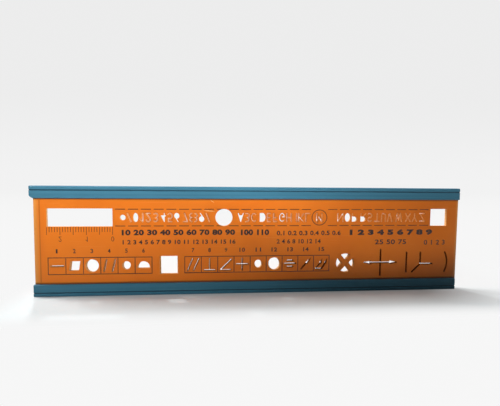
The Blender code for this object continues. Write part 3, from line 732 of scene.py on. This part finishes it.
class Nodes:
    """Short calls for building a node tree."""

    def __init__(self, tree):
        self.tree = tree

    def add(self, kind, **settings):
        node = self.tree.nodes.new(kind)
        for key, value in settings.items():
            setattr(node, key, value)
        return node

    def link(self, source, target):
        self.tree.links.new(source, target)

    def put(self, target, value):
        """Links the value if it is another node's output, and else sets it."""
        if isinstance(value, bpy.types.NodeSocket):
            self.link(value, target)
        else:
            target.default_value = value

    def position(self):
        return self.add("ShaderNodeTexCoord").outputs["Object"]

    def parts(self, vector):
        """The vector's x, y and z."""
        node = self.add("ShaderNodeSeparateXYZ")
        self.link(vector, node.inputs[0])
        return node.outputs

    def share(self, name):
        """One of the values from 0 to 1 that the piece's points carry."""
        return self.add("ShaderNodeAttribute", attribute_name=name).outputs["Fac"]

    def noise(self, vector, fineness, detail):
        node = self.add("ShaderNodeTexNoise")
        self.link(vector, node.inputs["Vector"])
        node.inputs["Scale"].default_value = fineness
        node.inputs["Detail"].default_value = detail
        return node.outputs["Fac"]

    def drawn_noise(self, vector, fineness, detail, turn=0):
        """Noise with a fineness of its own along x, y and z, turned about y."""
        node = self.add("ShaderNodeMapping")
        self.link(vector, node.inputs["Vector"])
        node.inputs["Scale"].default_value = fineness
        node.inputs["Rotation"].default_value = (0, math.radians(turn), 0)
        return self.noise(node.outputs["Vector"], 1.0, detail)

    def ramp(self, value, low, high, to_low=0.0, to_high=1.0):
        """Goes smoothly from to_low to to_high while the value goes from low to high."""
        node = self.add("ShaderNodeMapRange", interpolation_type="SMOOTHSTEP")
        self.put(node.inputs["Value"], value)
        for name, number in zip(("From Min", "From Max", "To Min", "To Max"), (low, high, to_low, to_high)):
            node.inputs[name].default_value = number
        return node.outputs["Result"]

    def maths(self, operation, a, b=0.0):
        node = self.add("ShaderNodeMath", operation=operation)
        self.put(node.inputs[0], a)
        self.put(node.inputs[1], b)
        return node.outputs[0]

    def greatest(self, value, *others):
        """The greatest of the values, compared one after the other."""
        for other in others:
            value = self.maths("MAXIMUM", value, other)
        return value

    def near_level(self, value, level, width):
        """One where the value is at the level, falling smoothly to nothing within the width."""
        away = self.maths("ABSOLUTE", self.maths("SUBTRACT", value, level))
        return self.ramp(away, 0.0, width, 1.0, 0.0)

    def mix(self, share, a, b):
        """Goes from a to b with the share."""
        node = self.add("ShaderNodeMix", data_type="RGBA")
        self.put(node.inputs[0], share)
        self.put(node.inputs[6], a)
        self.put(node.inputs[7], b)
        return node.outputs[2]

    def tinted(self, colour, mask, tint):
        """The colour mixed with the tint's, by the mask times the tint's strength."""
        other, strength = tint
        return self.mix(self.maths("MULTIPLY", mask, strength), colour, other)

    def eye(self):
        """One for the rays by which the camera sees, straight, mirrored or through glass."""
        path = self.add("ShaderNodeLightPath").outputs
        return self.greatest(path["Is Camera Ray"], path["Is Glossy Ray"], path["Is Transmission Ray"])


def wear_group():
    """Fine scratches and specks as masks, with a height for the bump.

    Scratches are noise drawn out along the plate, and along a line that slants across it.
    The height is a fine grain, less at the scratches.
    """
    group = bpy.data.node_groups.new("plastic_wear", "ShaderNodeTree")
    group.interface.new_socket("Position", in_out="INPUT", socket_type="NodeSocketVector")
    for name in ("Scratches", "Specks", "Height"):
        group.interface.new_socket(name, in_out="OUTPUT", socket_type="NodeSocketFloat")
    n = Nodes(group)
    position = n.add("NodeGroupInput").outputs[0]
    end = n.add("NodeGroupOutput")
    level = n.drawn_noise(position, LEVEL_FINENESS, detail=3.0)
    slanted = n.drawn_noise(position, SLANTED_FINENESS, detail=2.0, turn=SLANT)
    scratches = n.maths("ADD", n.ramp(level, *LEVEL_MARKS), n.ramp(slanted, *SLANTED_MARKS))
    specks = n.ramp(n.noise(position, SPECK_FINENESS, detail=1.0), *SPECK_MARKS)
    grain = n.noise(position, GRAIN_FINENESS, detail=2.0)
    height = n.maths("SUBTRACT", grain, n.maths("MULTIPLY", scratches, SCRATCH_DEPTH))
    n.link(scratches, end.inputs["Scratches"])
    n.link(specks, end.inputs["Specks"])
    n.link(height, end.inputs["Height"])
    return group


def start_material(name):
    """A new material with its nodes and its shader."""
    material = bpy.data.materials.new(name)
    material.use_nodes = True
    return material, Nodes(material.node_tree), material.node_tree.nodes["Principled BSDF"]


def add_wear(n, position, wear):
    node = n.add("ShaderNodeGroup", node_tree=wear)
    n.link(position, node.inputs["Position"])
    return node.outputs


def add_bump(n, shader, height, bump):
    strength, distance = bump
    node = n.add("ShaderNodeBump")
    n.link(height, node.inputs["Height"])
    node.inputs["Strength"].default_value = strength
    node.inputs["Distance"].default_value = distance
    n.link(node.outputs["Normal"], shader.inputs["Normal"])


def orange_plastic(wear):
    """The plate's faces: clouded, worn, paler by painted light on the bevels, with painted shadow along the
    rails and painted shade by slots.
    """
    material, n, shader = start_material("orange_plastic")
    position = n.position()
    place = n.parts(position)
    marks = add_wear(n, position, wear)
    clouds = n.noise(position, CLOUD_FINENESS, detail=3.0)
    colour = n.mix(n.ramp(clouds, *NOISE_SPAN), ORANGE, CLOUD_ORANGE)
    # Painted light: the bevels turn paler where the plastic thins, as if light came through it.
    colour = n.tinted(colour, n.share("thin"), THIN_GLOW_ORANGE)
    colour = n.tinted(colour, marks["Scratches"], SCRATCHED_ORANGE)
    colour = n.tinted(colour, marks["Specks"], SPECK_BROWN)
    # Painted shadow along both rails' seams, and a darker line along the left bevel's inner end.
    bevel_line = n.near_level(place["X"], plate_low.x + LEFT_BEVEL_WIDTH, BEVEL_LINE_WIDTH)
    seam_shadow_and_line = n.greatest(n.near_level(place["Z"], upper_seam, SEAM_SHADOW_WIDTH),
                       n.near_level(place["Z"], lower_seam, SEAM_SHADOW_WIDTH),
                       n.maths("MULTIPLY", bevel_line, BEVEL_LINE_SHARE))
    colour = n.tinted(colour, seam_shadow_and_line, SHADOW_AND_LINE_BROWN)
    # Painted shade beside the pen slots, where their walls would show darker through the plastic.
    colour = n.tinted(colour, n.share("near_slot"), SLOT_SHADE_BROWN)
    n.link(colour, shader.inputs["Base Color"])
    n.link(n.ramp(marks["Scratches"], 0, 1, *ORANGE_ROUGHNESS), shader.inputs["Roughness"])
    shader.inputs["Specular IOR Level"].default_value = GLOSS
    add_bump(n, shader, marks["Height"], ORANGE_BUMP)
    return material


def cut_plastic(wear):
    """The plate's cut walls: tan without a gloss, with a little painted glow that stands in for light
    coming through.

    The pen slots of the lower row get painted shade instead, brown and most so at the right.
    """
    material, n, shader = start_material("cut_orange_plastic")
    position = n.position()
    place = n.parts(position)
    marks = add_wear(n, position, wear)
    streaks = n.drawn_noise(position, CUT_FINENESS, detail=2.0)
    colour = n.mix(n.ramp(streaks, *NOISE_SPAN), CUT_TAN, CUT_STREAK)
    # Painted shade on the lower row's slot walls: brown below a height, and most at the right.
    low = n.maths("MULTIPLY", n.share("near_slot"), n.ramp(place["Z"], *SHADED_HEIGHTS, 1.0, 0.0))
    slot_shade = n.maths("MULTIPLY", low, n.ramp(place["X"], *SHADED_PLACES, LEFT_SHADE, 1.0))
    colour = n.mix(slot_shade, colour, CUT_SHADE_BROWN)
    n.link(colour, shader.inputs["Base Color"])
    # Painted glow: the walls emit their own colour, more higher up, standing in for light through the
    # plastic.
    lit = n.ramp(place["Z"], *GLOWING_HEIGHTS)
    n.link(n.mix(lit, (0, 0, 0, 1), colour), shader.inputs["Emission Color"])
    shader.inputs["Emission Strength"].default_value = CUT_GLOW
    shader.inputs["Roughness"].default_value = CUT_ROUGHNESS
    shader.inputs["Specular IOR Level"].default_value = 0.0
    add_bump(n, shader, marks["Height"], ORANGE_BUMP)
    return material


def blue_plastic(wear):
    """The rails: streaked along their length, lightly scratched, with painted shade in the long groove."""
    material, n, shader = start_material("blue_plastic")
    position = n.position()
    marks = add_wear(n, position, wear)
    drawn = n.drawn_noise(position, DRAWN_FINENESS, detail=3.0)
    colour = n.mix(n.ramp(drawn, *NOISE_SPAN), BLUE, DRAWN_BLUE)
    colour = n.tinted(colour, marks["Scratches"], SCRATCHED_BLUE)
    colour = n.tinted(colour, n.share("groove"), GROOVE_SHADE_BLUE)
    n.link(colour, shader.inputs["Base Color"])
    n.link(n.ramp(drawn, *NOISE_SPAN, *BLUE_ROUGHNESS), shader.inputs["Roughness"])
    shader.inputs["Specular IOR Level"].default_value = GLOSS
    add_bump(n, shader, drawn, BLUE_BUMP)
    return material


def worn_film(name, colour, faded, roughness):
    """A film on the face, whose colour fades in small worn patches."""
    material, n, shader = start_material(name)
    worn = n.ramp(n.noise(n.position(), FADE_FINENESS, detail=3.0), *FADE_MARKS)
    n.link(n.tinted(colour, worn, (faded, FADE_STRENGTH)), shader.inputs["Base Color"])
    shader.inputs["Roughness"].default_value = roughness
    return material


def studio_white(name):
    """White paint near the stencil that turns into an even glow further off.

    What it casts back onto the stencil is grey, so that the glow lights nothing. The glow's
    strength goes down smoothly with distance and, on the wall, with height.
    """
    material, n, shader = start_material(name)
    place = n.parts(n.position())
    eye = n.eye()
    paint = n.mix(n.ramp(place["Y"], *FRONT_EDGE), FRONT_WHITE, FLOOR_WHITE)
    n.link(n.mix(eye, FLOOR_BOUNCE, paint), shader.inputs["Base Color"])
    shader.inputs["Roughness"].default_value = FLOOR_ROUGHNESS
    shader.inputs["Specular IOR Level"].default_value = 0.0
    glow = n.add("ShaderNodeEmission")
    along = n.ramp(place["Y"], 0.0, GLOW_DISTANCE, *GLOW_STRENGTHS)
    fade = n.ramp(place["Z"], 0.0, WALL_FADE_HEIGHT, 0.0, WALL_FADE)
    n.link(n.maths("SUBTRACT", along, fade), glow.inputs["Strength"])
    share = n.greatest(n.ramp(place["Y"], *GLOW_BEHIND, NEAR_GLOW, 1.0),
                       n.ramp(place["Y"], *FRONT_GLOW, 1.0, 0.0),
                       n.ramp(place["X"], *LEFT_GLOW, 1.0, 0.0),
                       n.ramp(place["X"], *RIGHT_GLOW, 0.0, 1.0))
    blend = n.add("ShaderNodeMixShader")
    n.link(n.maths("MULTIPLY", share, eye), blend.inputs[0])
    n.link(shader.outputs[0], blend.inputs[1])
    n.link(glow.outputs[0], blend.inputs[2])
    n.link(blend.outputs[0], material.node_tree.nodes["Material Output"].inputs["Surface"])
    return material


# Studio

def add_sheet(name, points, material):
    """A flat sheet of the studio with these four corners."""
    surface(name, points, [(0, 1, 2, 3)], [material])


def make_studio():
    add_sheet("floor", [
        (-FLOOR_REACH, -FLOOR_REACH, 0), (FLOOR_REACH, -FLOOR_REACH, 0),
        (FLOOR_REACH, WALL_DISTANCE, 0), (-FLOOR_REACH, WALL_DISTANCE, 0)], studio_white("floor_white"))
    add_sheet("wall", [
        (-FLOOR_REACH, WALL_DISTANCE, 0), (FLOOR_REACH, WALL_DISTANCE, 0),
        (FLOOR_REACH, WALL_DISTANCE, WALL_HEIGHT), (-FLOOR_REACH, WALL_DISTANCE, WALL_HEIGHT)],
        studio_white("wall_white"))


def add_world():
    """A world that lights little but looks pale beyond the floor and the wall."""
    world = bpy.data.worlds.new("studio")
    bpy.context.scene.world = world
    world.use_nodes = True
    n = Nodes(world.node_tree)
    background = world.node_tree.nodes["Background"]
    background.inputs["Color"].default_value = (1, 1, 1, 1)
    n.link(n.ramp(n.eye(), 0, 1, WORLD_LIGHT, WORLD_WHITE), background.inputs["Strength"])


def add_lamp(name, kind, place, target, power, mirrored=True, **settings):
    """A lamp aimed at its target, which shows in glossy surfaces only if it is mirrored."""
    data = bpy.data.lights.new(name, kind)
    data.energy = power
    for key, value in settings.items():
        setattr(data, key, value)
    lamp = bpy.data.objects.new(name, data)
    bpy.context.scene.collection.objects.link(lamp)
    lamp.visible_glossy = mirrored
    lamp.location = place
    lamp.rotation_euler = (Vector(target) - Vector(place)).to_track_quat("-Z", "Y").to_euler()


def add_spot(name, place, target, power, angle, blend, softness):
    add_lamp(name, "SPOT", place, target, power, mirrored=False,
             spot_size=math.radians(angle), spot_blend=blend, shadow_soft_size=softness)


def add_lamps():
    """A high window, a small lamp behind, and three spots whose edges shade the printed face."""
    add_lamp("high_left_window", "AREA", place=(-2.8, 1.0, 3.0), target=(0, 0, 0), power=188, size=1.6)
    add_lamp("back_lamp", "AREA", place=(-0.35, 0.75, 0.95), target=(0, 0, 0), power=6.0, size=0.10)
    add_spot("right_front_lamp", place=(0.20, -0.40, 0.16), target=(-0.060, 0, 0.146), power=15.0,
             angle=40, blend=1.0, softness=0.04)
    add_spot("left_front_lamp", place=(0.15, -0.40, 0.10), target=(-0.100, 0, 0.100), power=2.3,
             angle=40, blend=1.0, softness=0.04)
    add_spot("middle_front_lamp", place=(0.05, -0.45, 0.10), target=(0.06, 0, 0.122), power=2.5,
             angle=30, blend=0.25, softness=0.008)


def add_camera():
    data = bpy.data.cameras.new("camera")
    data.lens = CAMERA_LENS
    data.sensor_width = SENSOR_WIDTH
    data.clip_start = CAMERA_NEAREST
    data.clip_end = CAMERA_FURTHEST
    camera = bpy.data.objects.new("camera", data)
    bpy.context.scene.collection.objects.link(camera)
    camera.location = CAMERA_PLACE
    camera.rotation_euler = [math.radians(angle) for angle in CAMERA_TURN]
    bpy.context.scene.camera = camera


# The whole scene

def make_stencil():
    """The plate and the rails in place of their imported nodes, and the films that the plate carries."""
    wear = wear_group()
    orange = orange_plastic(wear)
    blue = blue_plastic(wear)
    plate = make_plate(orange, cut_plastic(wear))
    upper = make_rail("upper_blue_rail", "upper_rail", True, blue)
    lower = make_rail("lower_blue_rail", "lower_rail", False, blue)
    for piece, node, slot in ((plate, "plate", "plate"), (upper, "upper_rail", "rail"),
                              (lower, "lower_rail", "rail")):
        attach(piece, "root")
        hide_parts(node)
    engraving = make_engraving(worn_film("engraving_fill", *ENGRAVING_BROWN))
    printing = make_printing(worn_film("printing_ink", *PRINTING_BLACK))
    scuffs = make_scuffs(worn_film("scuffed_plastic", *SCUFF_TAN))
    for piece in (engraving, printing, scuffs):
        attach(piece, "root")


def main():
    make_stencil()
    make_studio()
    add_world()
    add_lamps()
    add_camera()
    bpy.context.scene.view_settings.view_transform = "Standard"


main()
